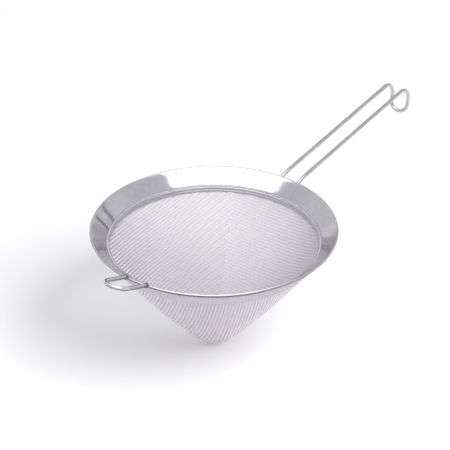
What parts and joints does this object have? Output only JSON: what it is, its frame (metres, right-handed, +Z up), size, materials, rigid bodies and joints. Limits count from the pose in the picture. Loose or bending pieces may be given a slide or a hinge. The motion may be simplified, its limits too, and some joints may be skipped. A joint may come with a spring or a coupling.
{
  "type": "chinois strainer",
  "caption": "Conical fine-mesh strainer with a flared sheet rim, a long bent-wire handle with a turned-down hook, and a wire rest loop opposite.",
  "frame": {"origin": "on the cone's axis, halfway up the collar under the flared band", "axes": "+Z up out of the cone's mouth along its axis; +X along the handle; the rest loop lies on -X"},
  "size_m": [0.4884, 0.24, 0.1502],
  "materials": {
    "polished_steel": "mirror polished",
    "woven_steel": "bright woven wire",
    "wire_steel": "polished wire",
    "weld_steel": "dull weld"
  },
  "bodies": {
    "root": {"rim_band": "polished_steel", "mesh_cone": "woven_steel", "clamp_ring": "polished_steel", "ring_tack_welds": "weld_steel", "handle_wire": "wire_steel", "rest_loop": "wire_steel", "handle_welds": "weld_steel", "loop_welds": "weld_steel"}
  },
  "joints": []
}
